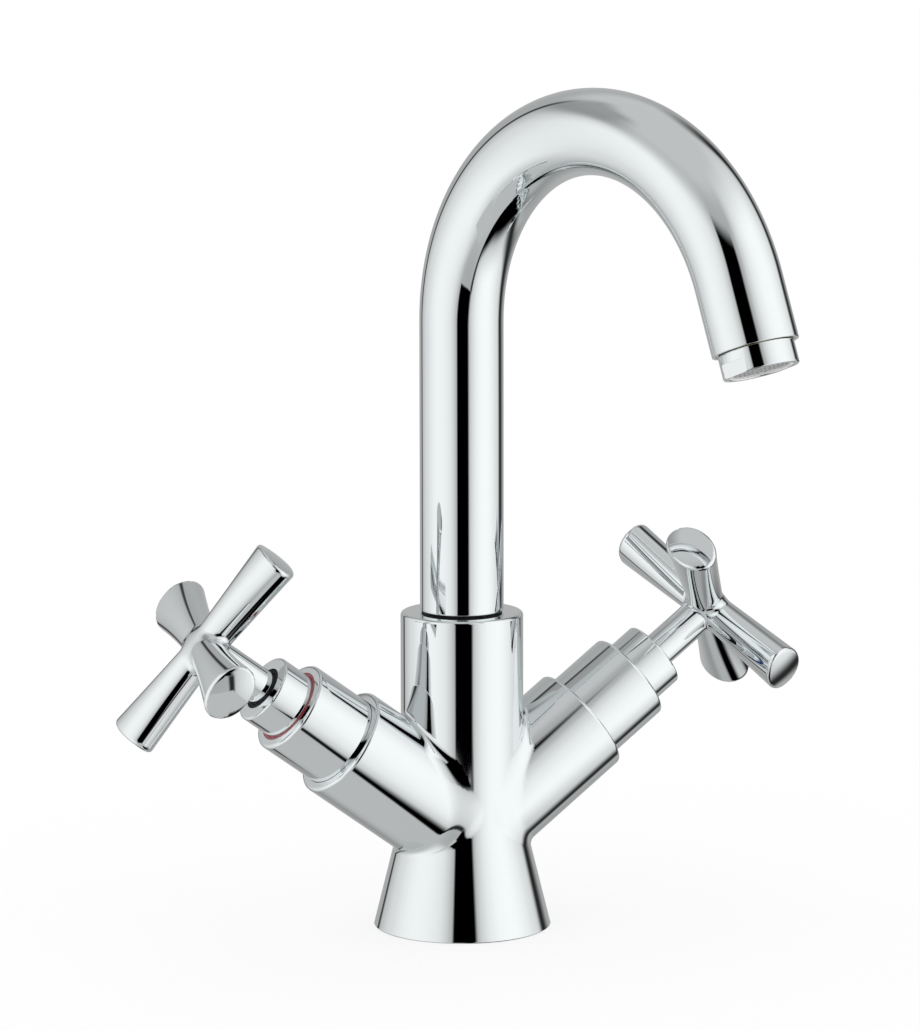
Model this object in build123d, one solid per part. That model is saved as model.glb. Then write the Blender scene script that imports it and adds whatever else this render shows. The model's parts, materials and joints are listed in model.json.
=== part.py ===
from build123d import *
import os
from math import asin, cos, degrees, radians, sin, sqrt

# A basin mixer tap with two cross handles and a swivelling swan-neck spout, in millimetres.
# The origin is at the centre of the base's underside, on the deck it stands on. Z is up, X runs
# from the hot handle to the cold one, and the user stands on the -Y side.

# Body casting
base_d = 58.8  # across the foot, before its edge is rounded
base_edge_round = 0.6
flare_height = 37.0  # the foot's cone, up to where it is as slim as the collar
collar_d = 40.5
collar_top = 105.6
collar_edge_round = 1.2
arm_pitch = 36.2  # degrees that the side arms rise from the horizontal
arm_axis_z = 33.4  # height where the two arm axes cross
arm_d = 37.6
arm_reach = 54.8  # from the crossing of the axes to the arm's mouth
arm_edge_round = 1.2
junction_round = 2.0  # blend where the arms' tops meet the collar
recess_d = 40.0  # hollow in the base's underside
recess_depth = 14.0

# Deck seal, in a groove in the base's underside
deck_seal_d = 52.0  # middle of the ring
deck_seal_width = 2.4
deck_seal_height = 1.6

# Supply and fixing holes in the base
inlet_spacing = 18.0
inlet_y = 4.0
inlet_thread_d = 9.0  # tapping size of M10x1
inlet_thread_depth = 12.0
supply_bore_d = 7.0
stud_y = -10.5
stud_thread_d = 6.8  # tapping size of M8
stud_thread_depth = 14.0
seat_bore_d = 8.0
mix_bore_d = 6.0

# Valve chamber in each arm, and the headwork screwed into it
chamber_d = 21.0
chamber_depth = 26.8
headwork_cup_d = 18.6
headwork_cup_bore = 16.2
headwork_cup_depth = 13.6
headwork_thread_length = 9.8
headwork_flange_d = 24.4
headwork_flange_height = 2.0
headwork_hex = 21.0  # across flats
headwork_hex_height = 7.0
headwork_neck_d = 17.9
port_width = 8.0
port_height = 4.5
port_height_from_rim = 7.6

# Ceramic discs and the seals under them
seat_seal_height = 2.0
seat_seal_wall = 3.6
disc_d = 16.0
disc_height = 2.5
disc_lug_width = 3.0
moon_d = 13.0  # the half-moon waterway in each disc
moon_wall = 1.2  # from the half-moon's straight side to the disc's centre
drive_slot_width = 3.2
drive_slot_depth = 1.2

# Spindle
shaft_d = 10.0
foot_d = 13.0
foot_height = 2.5
tongue_length = 11.0  # of the spindle's tongue in the moving disc's slot
thrust_d = 14.4
thrust_height = 1.9
washer_height = 0.8
spline_d = 8.0
spline_depth = 0.35
spline_teeth = 20
spline_length = 18.4
handle_travel = 180.0  # degrees from shut to fully open
stop_rib_angle = 70.0
shaft_seal_cord = 1.5
shaft_seal_spacing = 6.0
circlip_height = 1.0
circlip_wall = 1.9
circlip_opening = 60.0

# Sleeve, guide bush and index ring
sleeve_d = 31.4
sleeve_show = 22.3  # length in front of the arm's mouth
sleeve_seat_depth = 3.0
sleeve_wall = 3.0
sleeve_edge_round = 1.2
bush_d = 23.4
bush_show = 11.3
bush_bore_d = 15.0
bush_spigot_d = 19.8
bush_spigot_length = 9.0
bush_shelf = 1.6  # from the neck's end to the step in the bush's bore
bush_edge_round = 0.8
ring_width = 1.6
ring_height = 1.1
stem_seal_recess = 0.5
stem_seal_height = 1.0

# Cross handle
stem_d = 11.8
hub_reach = 113.3  # from the crossing of the axes to the handle's centre
hub_d = 12.4
cross_reach = 38.2  # from the handle's centre to an arm's end
neck_d = 11.0
arm_end_width = 20.4
arm_end_height = 14.2
arm_waist = 0.45  # where along the arm the flare's middle section lies
arm_waist_width = 14.0
arm_waist_height = 12.7
arm_end_dome = 40.0  # radius of the domed end faces
arm_end_round = 1.0
hot_turn = 15.2  # degrees that the first arm of the shut handle leans to the front
cold_turn = 35.6
grub_d = 3.0
grub_socket = 1.5
grub_from_bush = 3.6

# Spout
tube_d = 27.6
tube_wall = 1.2
arch_centre_z = 202.0
arch_radius = 66.0
arch_sweep = 159.2  # degrees
outlet_straight = 21.0
spout_turn = 17.3  # degrees that the spout is swivelled towards the cold side
swivel_travel = 75.0  # degrees to each side of the front
spigot_d = 24.0
spigot_depth = 30.0
spigot_bore = 18.0
spigot_plug_length = 18.0
socket_depth = 34.0
glide_ring_height = 1.0
glide_ring_wall = 1.6
spout_seal_cord = 1.8
spout_seal_spacing = 18.0
stop_below_top = 15.0
stop_groove_depth = 2.0
stop_screw_d = 5.0
stop_point_d = 3.5
stop_screw_socket = 2.5
stop_screw_sunk = 0.8

# Outlet
outlet_thread_d = 23.0  # tapping size of M24x1
outlet_bush_length = 10.0
outlet_bush_lip = 1.6
outlet_bush_lip_bore = 18.5
aerator_d = 24.2
aerator_show = 7.6
aerator_thread_length = 6.2
aerator_bore = 20.4
aerator_flats = 22.0
aerator_flat_height = 4.4
aerator_edge_round = 0.5
screen_recess = 0.9
screen_height = 0.6
screen_pitch = 1.9
screen_wire = 0.5
core_rim_wall = 0.9
core_height = 9.0

# Clearances
thread_gap = 0.05  # radial, between screwed pieces
running_gap = 0.05  # radial, between pieces that turn in each other
rubbing_gap = 0.02  # between faces that turn on each other
seal_gap = 0.03  # round a seal ring in its groove
mouth_gap = 0.15  # round the sleeve in the arm's mouth
joint_gap = 0.03  # radial, in a soldered or pressed joint
groove_play = 0.15  # each side of a pin, clip or seal in its groove
cut_over = 1.0  # how far a cut runs past the face it opens

# Worked out from the sizes above
sides = {"hot": -1, "cold": 1}
chamber_floor = arm_reach - chamber_depth
seat_face = arm_reach - sleeve_seat_depth
cup_rim = chamber_floor + seat_seal_height * 0.2
cup_ceiling = cup_rim + headwork_cup_depth
fixed_disc_low = chamber_floor + seat_seal_height
moving_disc_low = fixed_disc_low + disc_height + rubbing_gap
foot_low = moving_disc_low + disc_height
washer_low = cup_ceiling - washer_height
thrust_low = washer_low - rubbing_gap - thrust_height
sleeve_front = arm_reach + sleeve_show
bush_front = sleeve_front + bush_show
bush_back = sleeve_front - bush_spigot_length
hex_low = seat_face + headwork_flange_height
hex_high = hex_low + headwork_hex_height
bush_step = bush_back + bush_spigot_length - bush_shelf
neck_end = bush_step - joint_gap
circlip_low = neck_end + rubbing_gap
stem_end = circlip_low + circlip_height + groove_play
spline_end = stem_end + spline_length
socket_d = spigot_d + 2 * running_gap
tube_low = collar_top + glide_ring_height
tube_bore = tube_d - 2 * tube_wall
stop_z = collar_top - stop_below_top
on_floor = (Align.CENTER, Align.CENTER, Align.MIN)


def arm_plane(side):
    """The plane square to a side arm's axis where the arm axes cross. Its Z runs out along the arm."""
    pitch = radians(arm_pitch)
    return Plane(
        origin=(0, 0, arm_axis_z),
        x_dir=(-side * sin(pitch), 0, cos(pitch)),
        z_dir=(side * cos(pitch), 0, sin(pitch)),
    )


def rod(diameter, low, high):
    """A cylinder on Z between two heights."""
    return Pos(0, 0, low) * Cylinder(diameter / 2, high - low, align=on_floor)


def pipe(outer, inner, low, high):
    """A cylinder with a bore right through, on Z between two heights."""
    return rod(outer, low, high) - rod(inner, low, high)


def hexagon(across_flats, low, high):
    """A hexagonal prism on Z between two heights."""
    outline = RegularPolygon(across_flats / 2, 6, major_radius=False)
    return Pos(0, 0, low) * extrude(outline, high - low)


def sector(outer, inner, low, high, start, sweep):
    """Part of a pipe, from the angle start and sweep degrees round."""
    middle, wall = (outer + inner) / 4, (outer - inner) / 2
    section = Plane.XZ * Pos(middle, (low + high) / 2) * Rectangle(wall, high - low)
    return Rot(0, 0, start) * revolve(section, Axis.Z, sweep)


def seal_ring(outer, cord, height):
    """An O-ring round Z."""
    return Pos(0, 0, height) * Torus(outer / 2 - cord / 2, cord / 2)


def rims(part, diameter, height):
    """The circular edges of that diameter, round Z at that height."""
    found = part.edges().filter_by(GeomType.CIRCLE)
    found = found.filter_by(lambda e: abs(e.radius - diameter / 2) < 0.001)
    return found.filter_by(lambda e: abs(e.arc_center.Z - height) < 0.001)


def drilling(start, end, diameter):
    """A round hole's cutter from one point to another."""
    run = Vector(*end) - Vector(*start)
    return Plane(origin=start, z_dir=run) * rod(diameter, 0, run.length)


def arm_point(side, reach):
    """The point on a side arm's axis at that distance from the crossing of the axes."""
    pitch = radians(arm_pitch)
    return (side * reach * cos(pitch), 0, arm_axis_z + reach * sin(pitch))


def casting_outside():
    """The foot, the collar and the two side arms as one blended solid."""
    foot = Cone(base_d / 2, collar_d / 2, flare_height, align=on_floor)
    foot = fillet(rims(foot, base_d, 0), base_edge_round)
    collar = rod(collar_d, flare_height, collar_top)
    collar = fillet(rims(collar, collar_d, collar_top), collar_edge_round)
    body = foot + collar
    for side in sides.values():
        arm = rod(arm_d, 0, arm_reach)
        arm = fillet(rims(arm, arm_d, arm_reach), arm_edge_round)
        body += arm_plane(side) * arm
    creases = body.edges().filter_by(GeomType.BSPLINE)
    return fillet(creases.filter_by(lambda e: e.center().Z > flare_height), junction_round)


def base_cuts():
    """The hollow under the base with its seal groove, the inlet threads and the stud's thread."""
    ring_inner = deck_seal_d - deck_seal_width - 2 * seal_gap
    ring_outer = deck_seal_d + deck_seal_width + 2 * seal_gap
    cuts = rod(recess_d, -cut_over, recess_depth)
    cuts += pipe(ring_outer, ring_inner, -cut_over, deck_seal_height)
    for side in sides.values():
        place = Pos(side * inlet_spacing / 2, inlet_y)
        seat_height = arm_axis_z + inlet_spacing / 2 * sin(radians(arm_pitch)) / cos(radians(arm_pitch))
        cuts += place * rod(inlet_thread_d, 0, recess_depth + inlet_thread_depth)
        cuts += place * rod(supply_bore_d, 0, seat_height)
    cuts += Pos(0, stud_y) * rod(stud_thread_d, 0, recess_depth + stud_thread_depth)
    return cuts


def valve_cuts(side):
    """A side arm's mouth, valve chamber, seat bore and the way to the spout's socket."""
    seat_bore_low = (inlet_spacing / 2 - supply_bore_d / 2) / cos(radians(arm_pitch))
    bores = rod(chamber_d, chamber_floor, arm_reach + cut_over)
    bores += rod(sleeve_d + 2 * mouth_gap, seat_face, arm_reach + cut_over)
    bores += rod(seat_bore_d, seat_bore_low, chamber_floor + cut_over)
    port = cup_rim + port_height_from_rim
    socket_corner = (side * mix_bore_d, 0, collar_top - socket_depth + cut_over)
    return arm_plane(side) * bores + drilling(socket_corner, arm_point(side, port), mix_bore_d)


def stop_screw_plane():
    """The plane at the swivel stop's height whose Z points out of the collar's back."""
    return Plane(origin=(0, 0, stop_z), x_dir=(1, 0, 0), z_dir=(0, 1, 0))


def body_casting():
    """The cast body with all its bores."""
    body = casting_outside() - base_cuts()
    for side in sides.values():
        body -= valve_cuts(side)
    body -= rod(socket_d, collar_top - socket_depth, collar_top + cut_over)
    tapped = rod(stop_screw_d + 2 * thread_gap, 0, collar_d)
    body -= stop_screw_plane() * tapped
    return body


def deck_seal():
    """The flat rubber ring between the base and the deck."""
    return pipe(deck_seal_d + deck_seal_width, deck_seal_d - deck_seal_width, 0, deck_seal_height)


def swivel_stop_screw():
    """The grub screw in the collar's back, whose point runs in the spigot's part-round groove."""
    point_tip = spigot_d / 2 - stop_groove_depth + groove_play
    shank_low = socket_d / 2 + groove_play
    shank_high = collar_d / 2 - stop_screw_sunk
    screw = rod(stop_point_d, point_tip, shank_low) + rod(stop_screw_d, shank_low, shank_high)
    screw -= hexagon(stop_screw_socket, shank_high - stop_screw_socket, shank_high + cut_over)
    return stop_screw_plane() * screw


def headwork(side):
    """The brass valve body: cup for the discs, thread, flange, hexagon and neck."""
    body = rod(headwork_cup_d, cup_rim, seat_face)
    body += rod(chamber_d - 2 * thread_gap, seat_face - headwork_thread_length, seat_face)
    body += rod(headwork_flange_d, seat_face, hex_low)
    body += hexagon(headwork_hex, hex_low, hex_high) + rod(headwork_neck_d, hex_high, neck_end)
    body -= rod(headwork_cup_bore, cup_rim - cut_over, cup_ceiling)
    body -= rod(shaft_d + 2 * running_gap, cup_ceiling - cut_over, neck_end + cut_over)
    seal_low = seat_face - shaft_seal_cord - groove_play
    body -= pipe(chamber_d, chamber_d - 2 * shaft_seal_cord - 2 * seal_gap, seal_low, seat_face)
    port_low = cup_rim + port_height_from_rim - port_height / 2
    ports = Box(port_width, chamber_d, port_height, align=on_floor)
    lug_slots = Box(chamber_d, disc_lug_width + 2 * groove_play, 2 * disc_height + cut_over, align=on_floor)
    body -= Pos(0, 0, port_low) * ports
    body -= Pos(0, 0, fixed_disc_low + disc_height - 2 * disc_height - cut_over) * lug_slots
    return body + headwork_stop(side)


def headwork_stop(side):
    """The rib in the cup's ceiling that the spindle's lug runs against."""
    inner = foot_d + 2 * groove_play
    low = thrust_low - rubbing_gap
    start = side * 90 - stop_rib_angle / 2
    return sector(headwork_cup_bore + 2 * joint_gap, inner, low, cup_ceiling, start, stop_rib_angle)


def headwork_seal():
    """The O-ring under the headwork's flange."""
    height = seat_face - shaft_seal_cord / 2 - seal_gap
    return seal_ring(chamber_d - 2 * seal_gap, shaft_seal_cord, height)


def seat_seal():
    """The rubber ring between the chamber's floor and the fixed disc."""
    outer = headwork_cup_bore - 2 * seal_gap
    return pipe(outer, outer - 2 * seat_seal_wall, chamber_floor, fixed_disc_low)


def disc_blank(low):
    """A ceramic disc with its half-moon waterway on the +X side."""
    waterway = rod(moon_d, low, low + disc_height)
    waterway &= Pos(moon_wall, 0, low) * Box(moon_d, moon_d, disc_height, align=(Align.MIN, Align.CENTER, Align.MIN))
    return rod(disc_d, low, low + disc_height) - waterway


def fixed_disc():
    """The lower ceramic disc, held by two lugs in the cup's slots."""
    lugs = Box(headwork_cup_d, disc_lug_width, disc_height, align=on_floor)
    lugs &= rod(headwork_cup_d, 0, disc_height)
    lugs -= rod(disc_d - 2 * joint_gap, 0, disc_height)
    return disc_blank(fixed_disc_low) + Pos(0, 0, fixed_disc_low) * lugs


def moving_disc():
    """The upper ceramic disc, half a turn from open, with the slot that the spindle drives."""
    slot = Box(drive_slot_width, disc_d, drive_slot_depth, align=on_floor)
    blank = Rot(0, 0, 180) * disc_blank(moving_disc_low)
    return blank - Pos(0, 0, moving_disc_low + disc_height - drive_slot_depth) * slot


def spline(diameter, low, high):
    """A toothed rod on Z, for the spindle's end and for the bore that takes it."""
    points = []
    for tooth in range(spline_teeth):
        for share, radius in ((0.0, diameter / 2), (0.5, diameter / 2 - spline_depth)):
            turn = radians((tooth + share) * 360 / spline_teeth)
            points.append((radius * cos(turn), radius * sin(turn)))
    outline = make_face(Polyline(*points, close=True))
    return Pos(0, 0, low) * extrude(outline, high - low)


def spindle(side, turn):
    """The spindle: driving tongue, foot, thrust flange with its stop lug, shaft and splined end."""
    tongue = Box(drive_slot_width - 2 * groove_play, tongue_length, drive_slot_depth - groove_play, align=on_floor)
    part = Pos(0, 0, foot_low - drive_slot_depth + groove_play) * tongue
    foot = rod(foot_d, foot_low, foot_low + foot_height)
    open_side = Box(foot_d, foot_d, foot_height, align=(Align.MAX, Align.CENTER, Align.MIN))
    part += foot - Pos(-drive_slot_width / 2 - moon_wall, 0, foot_low) * open_side
    part += rod(shaft_d, foot_low, circlip_low)
    part += rod(foot_d, thrust_low, thrust_low + thrust_height)
    part += stop_lug(side)
    for height in shaft_seal_heights():
        floor = shaft_d - 2 * shaft_seal_cord - 2 * seal_gap
        half = shaft_seal_cord / 2 + groove_play
        part -= pipe(shaft_d + cut_over, floor, height - half, height + half)
    clip_bore = shaft_d - 2 * circlip_wall / 2
    part += rod(clip_bore, circlip_low, circlip_low + circlip_height)
    part += rod(shaft_d - circlip_wall / 2, circlip_low + circlip_height, stem_end)
    return part + Rot(0, 0, side * turn) * spline(spline_d, stem_end, spline_end)


def stop_lug(side):
    """The lug on the thrust flange that meets the headwork's rib when shut and when fully open."""
    free = 360 - stop_rib_angle - handle_travel
    shut_end = side * 90 - side * (stop_rib_angle / 2 + groove_play)
    start = shut_end - free + 2 * groove_play if side > 0 else shut_end
    sweep = free - 2 * groove_play
    return sector(thrust_d + 1, foot_d - 1, thrust_low, thrust_low + thrust_height, start, sweep)


def shaft_seal_heights():
    """The heights of the spindle's two O-rings."""
    middle = (cup_ceiling + hex_high) / 2
    return (middle - shaft_seal_spacing / 2, middle + shaft_seal_spacing / 2)


def spindle_seals():
    """The two O-rings on the spindle."""
    outer = shaft_d + 2 * running_gap - 2 * rubbing_gap
    return [seal_ring(outer, shaft_seal_cord, height) for height in shaft_seal_heights()]


def thrust_washer():
    """The plastic washer between the spindle's flange and the cup's ceiling."""
    inner = shaft_d + 2 * running_gap
    return pipe(foot_d, inner, washer_low, cup_ceiling - rubbing_gap)


def circlip():
    """The open ring that holds the spindle at the neck's end."""
    inner = shaft_d - circlip_wall
    outer = inner + 2 * circlip_wall
    return sector(outer, inner, circlip_low, circlip_low + circlip_height, circlip_opening / 2, 360 - circlip_opening)


def sleeve():
    """The chromed sleeve that covers the headwork, with the index ring's groove in its face."""
    bore = sleeve_d - 2 * sleeve_wall
    part = rod(sleeve_d, seat_face, sleeve_front)
    part = fillet(rims(part, sleeve_d, sleeve_front), sleeve_edge_round)
    part -= rod(bore, seat_face - cut_over, sleeve_front - sleeve_wall)
    part -= rod(bush_spigot_d + 2 * thread_gap, seat_face, sleeve_front + cut_over)
    groove = pipe(bush_d + 2 * ring_width + 2 * joint_gap, bush_d, sleeve_front - ring_height, sleeve_front + cut_over)
    return part - groove


def guide_bush():
    """The stepped bush that clamps the sleeve and guides the handle's stem."""
    part = rod(bush_d, sleeve_front, bush_front)
    part = fillet(rims(part, bush_d, bush_front), bush_edge_round)
    part += rod(bush_spigot_d, bush_back, sleeve_front)
    part -= rod(headwork_neck_d + 2 * thread_gap, bush_back - cut_over, bush_step)
    return part - rod(bush_bore_d, bush_step - cut_over, bush_front + cut_over)


def index_ring():
    """The coloured ring round the bush, let into the sleeve's face."""
    low = sleeve_front - ring_height
    ring = pipe(bush_d + 2 * ring_width, bush_d + 2 * joint_gap, low, sleeve_front + ring_height / 4)
    outer_rim = rims(ring, bush_d + 2 * ring_width, sleeve_front + ring_height / 4)
    return fillet(outer_rim, ring_height / 5)


def stem_seal():
    """The black ring in the bush's mouth that wipes the handle's stem."""
    high = bush_front - stem_seal_recess
    inner = stem_d + 2 * running_gap
    return pipe(bush_bore_d - 2 * joint_gap, inner, high - stem_seal_height, high)


def cross_arm():
    """One arm of the cross along +X: a round neck that flares to an oval, domed end."""
    stations = (
        (0.0, neck_d, neck_d),
        (arm_waist * cross_reach, arm_waist_width, arm_waist_height),
        (cross_reach, arm_end_width, arm_end_height),
    )
    sections = [
        Plane(origin=(reach, 0, 0), x_dir=(0, 1, 0), z_dir=(1, 0, 0)) * Ellipse(width / 2, height / 2)
        for reach, width, height in stations
    ]
    arm = loft(sections) & Pos(cross_reach - arm_end_dome, 0, 0) * Sphere(arm_end_dome)
    rim = arm.edges().filter_by(lambda e: e.center().X > cross_reach * 0.9)
    return fillet(rim, arm_end_round)


def cross_handle():
    """The cross and its stem, with the splined bore and the tapped hole of the grub screw."""
    cross = Sphere(hub_d / 2)
    arm = cross_arm()
    for quarter in range(4):
        cross += Rot(0, 0, 90 * quarter) * arm
    handle = Pos(0, 0, hub_reach) * cross + rod(stem_d, stem_end, hub_reach)
    handle -= spline(spline_d + 2 * thread_gap, stem_end - cut_over, spline_end + cut_over)
    tapped = rod(grub_d + 2 * thread_gap, 0, stem_d)
    return handle - grub_plane() * tapped


def grub_plane():
    """The plane at the grub screw's height, whose Z points out between two arms of the cross."""
    turn = radians(225)
    return Plane(origin=(0, 0, bush_front + grub_from_bush), x_dir=(0, 0, 1), z_dir=(cos(turn), sin(turn), 0))


def grub_screw():
    """The socket screw that fixes the handle on its spindle."""
    tip = spline_d / 2 + thread_gap
    head = sqrt((stem_d / 2) ** 2 - (grub_d / 2) ** 2)
    screw = rod(grub_d, tip, head)
    screw -= hexagon(grub_socket, (tip + head) / 2, head + cut_over)
    return grub_plane() * screw


def spout_path():
    """The tube's centreline: up, over the arch and down to the outlet, towards the front."""
    sweep = radians(arch_sweep)
    along = (
        Vector(0, 0, arch_centre_z),
        Vector(0, arch_radius * (cos(sweep / 2) - 1), arch_centre_z + arch_radius * sin(sweep / 2)),
        Vector(0, arch_radius * (cos(sweep) - 1), arch_centre_z + arch_radius * sin(sweep)),
    )
    rise = Line((0, 0, tube_low), along[0])
    arch = ThreePointArc(*along)
    fall = Line(along[2], along[2] + Vector(0, -sin(sweep), cos(sweep)) * outlet_straight)
    return rise + arch + fall


def outlet_plane():
    """The plane at the tube's end, whose Z points out of the outlet."""
    path = spout_path()
    return Plane(origin=path @ 1, x_dir=(1, 0, 0), z_dir=path % 1)


def spout_tube():
    """The bent tube."""
    section = Pos(0, 0, tube_low) * (Circle(tube_d / 2) - Circle(tube_bore / 2))
    return sweep(section, spout_path())


def spout_spigot():
    """The turned piece soldered into the tube's foot, which swivels in the body's socket."""
    low = collar_top - spigot_depth
    part = rod(spigot_d, low, tube_low)
    part += rod(tube_bore - 2 * joint_gap, tube_low, tube_low + spigot_plug_length)
    for height in spout_seal_heights():
        floor = spigot_d - 2 * spout_seal_cord - 2 * seal_gap
        half = spout_seal_cord / 2 + groove_play
        part -= pipe(spigot_d + cut_over, floor, height - half, height + half)
    part -= stop_groove()
    return part - rod(spigot_bore, low - cut_over, tube_low + spigot_plug_length + cut_over)


def stop_groove():
    """The part-round groove that lets the spout swivel to each side of the front, and no further."""
    floor = spigot_d / 2 - stop_groove_depth
    half_point = degrees(asin((stop_point_d / 2 + groove_play) / (floor + groove_play)))
    half_width = stop_point_d / 2 + groove_play
    half_sweep = swivel_travel + half_point
    low, high = stop_z - half_width, stop_z + half_width
    return sector(spigot_d + cut_over, 2 * floor, low, high, 90 - half_sweep, 2 * half_sweep)


def spout_seal_heights():
    """The heights of the spigot's two O-rings, above and below the stop groove."""
    return (stop_z - spout_seal_spacing / 2, stop_z + spout_seal_spacing / 2)


def spout_seals():
    """The two O-rings on the spigot."""
    outer = socket_d - 2 * rubbing_gap
    return [seal_ring(outer, spout_seal_cord, height) for height in spout_seal_heights()]


def glide_ring():
    """The black plastic ring that the spout turns on."""
    inner = spigot_d + 2 * joint_gap
    return pipe(inner + 2 * glide_ring_wall, inner, collar_top + rubbing_gap, tube_low)


def outlet_bush():
    """The threaded ring soldered into the tube's end."""
    ring = rod(tube_bore - 2 * joint_gap, -outlet_bush_length, 0)
    ring -= rod(outlet_thread_d, -outlet_bush_length + outlet_bush_lip, cut_over)
    return ring - rod(outlet_bush_lip_bore, -outlet_bush_length - cut_over, cut_over)


def aerator_housing():
    """The chromed, threaded shell of the aerator, with two spanner flats."""
    thread = rod(outlet_thread_d - 2 * thread_gap, -aerator_thread_length, 0)
    skirt = rod(aerator_d, 0, aerator_show)
    skirt = fillet(rims(skirt, aerator_d, aerator_show), aerator_edge_round)
    flats = Box(aerator_flats, aerator_d, aerator_flat_height + cut_over, align=on_floor)
    cutter = rod(2 * aerator_d, 0, aerator_flat_height + cut_over) - flats
    skirt -= Pos(0, 0, aerator_show - aerator_flat_height) * cutter
    return thread + skirt - rod(aerator_bore, -aerator_thread_length - cut_over, aerator_show + cut_over)


def screen_low():
    """The height of the outlet screen's inner face."""
    return aerator_show - screen_recess - screen_height


def aerator_core():
    """The plastic core that breaks up the jet: a tube with a perforated plate across it."""
    outer = aerator_bore - 2 * joint_gap
    high = screen_low()
    low = high - core_height
    core = pipe(outer, outer - 2 * core_rim_wall, low, high)
    plate = rod(outer - core_rim_wall, low, low + core_rim_wall)
    holes = [Pos(place) * rod(screen_pitch, low - cut_over, low + 2 * cut_over) for place in hole_places()]
    rim = pipe(outer, outer - 2 * core_rim_wall, high, aerator_show - screen_recess / 3)
    return core + (plate - holes) + rim


def hole_places():
    """The centres of the core plate's jet holes, in two rings."""
    places = []
    for count, share in ((6, 0.33), (12, 0.7)):
        radius = share * aerator_bore / 2
        for step in range(count):
            turn = radians(step * 360 / count)
            places.append(Vector(radius * cos(turn), radius * sin(turn), 0))
    return places


def aerator_screen():
    """The square-holed screen across the outlet."""
    across = aerator_bore - 2 * joint_gap - 2 * core_rim_wall - 2 * joint_gap
    low = screen_low()
    disc = rod(across, low, low + screen_height)
    count = int(across / screen_pitch)
    hole = screen_pitch - screen_wire
    cells = GridLocations(screen_pitch, screen_pitch, count, count).locations
    inside = [c for c in cells if c.position.length + hole * 0.71 < across / 2 - screen_wire]
    holes = [c * Pos(0, 0, low - cut_over) * Box(hole, hole, 3 * cut_over, align=on_floor) for c in inside]
    return disc - holes


def aerator_seal():
    """The rubber washer between the housing and the outlet bush."""
    high = -aerator_thread_length
    low = -outlet_bush_length + outlet_bush_lip
    return pipe(outlet_thread_d - 2 * seal_gap, outlet_bush_lip_bore, low, high)


def valve_parts(side):
    """The pieces that stay still in a side arm, on the arm's own axis."""
    return {
        "headwork": headwork(side),
        "headwork_seal": headwork_seal(),
        "seat_seal": seat_seal(),
        "fixed_disc": fixed_disc(),
        "sleeve": sleeve(),
        "guide_bush": guide_bush(),
        "index_ring": index_ring(),
        "stem_seal": stem_seal(),
    }


def handle_parts(side, turn):
    """The pieces that turn with a handle, on the arm's own axis."""
    return {
        "moving_disc": moving_disc(),
        "spindle": spindle(side, turn),
        "spindle_seals": spindle_seals(),
        "thrust_washer": thrust_washer(),
        "circlip": circlip(),
        "cross_handle": Rot(0, 0, side * turn) * cross_handle(),
        "grub_screw": Rot(0, 0, side * turn) * grub_screw(),
    }


def spout_parts():
    """The pieces that swivel with the spout, pointing to the front."""
    outlet = outlet_plane()
    parts = {
        "spout_tube": spout_tube(),
        "spout_spigot": spout_spigot(),
        "spout_seals": spout_seals(),
        "glide_ring": glide_ring(),
        "outlet_bush": outlet * outlet_bush(),
        "aerator_housing": outlet * aerator_housing(),
        "aerator_core": outlet * aerator_core(),
        "aerator_screen": outlet * aerator_screen(),
        "aerator_seal": outlet * aerator_seal(),
    }
    return parts


def placed(place, part):
    """A solid, or a group of solids, moved to its place."""
    if isinstance(part, list):
        return Compound([place * piece for piece in part])
    return place * part


def all_parts():
    """Every node of the tap by name, in its stored place."""
    parts = {
        "body_casting": body_casting(),
        "deck_seal": deck_seal(),
        "swivel_stop_screw": swivel_stop_screw(),
    }
    for (name, side), turn in zip(sides.items(), (hot_turn, cold_turn)):
        place = arm_plane(side).location
        for node, part in {**valve_parts(side), **handle_parts(side, turn)}.items():
            parts[f"{name}_{node}"] = placed(place, part)
    for node, part in spout_parts().items():
        parts[node] = placed(Rot(0, 0, spout_turn), part)
    return parts


os.makedirs("parts", exist_ok=True)
for node, part in all_parts().items():
    export_step(part, f"parts/{node}.step")
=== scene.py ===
import json
import math

import bmesh
import bpy
import numpy as np
from mathutils import Matrix, Vector


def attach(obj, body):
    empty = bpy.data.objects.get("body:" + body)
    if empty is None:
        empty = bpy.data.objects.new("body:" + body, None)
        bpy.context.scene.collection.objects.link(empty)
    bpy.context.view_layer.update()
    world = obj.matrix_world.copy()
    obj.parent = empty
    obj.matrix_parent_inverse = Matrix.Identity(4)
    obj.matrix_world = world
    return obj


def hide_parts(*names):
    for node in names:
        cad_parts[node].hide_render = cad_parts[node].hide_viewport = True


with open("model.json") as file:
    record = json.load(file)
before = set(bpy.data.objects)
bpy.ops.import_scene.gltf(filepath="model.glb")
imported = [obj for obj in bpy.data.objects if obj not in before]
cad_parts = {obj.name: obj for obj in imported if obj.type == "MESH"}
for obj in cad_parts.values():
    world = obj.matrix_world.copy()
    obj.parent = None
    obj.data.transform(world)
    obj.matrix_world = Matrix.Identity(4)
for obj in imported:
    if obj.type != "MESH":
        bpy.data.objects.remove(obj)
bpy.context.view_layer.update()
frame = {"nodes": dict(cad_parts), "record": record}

# Sizes in millimetres, as in the part. Angles in degrees.
base_d, collar_d, collar_top = 58.8, 40.5, 105.6
flare_height, flare_soften = 37.0, 2.0
base_edge_round, collar_edge_round = 0.6, 1.2
arm_pitch, arm_axis_z, arm_d, arm_reach = 36.2, 33.4, 37.6, 54.8
arm_edge_round = 1.2
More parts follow.
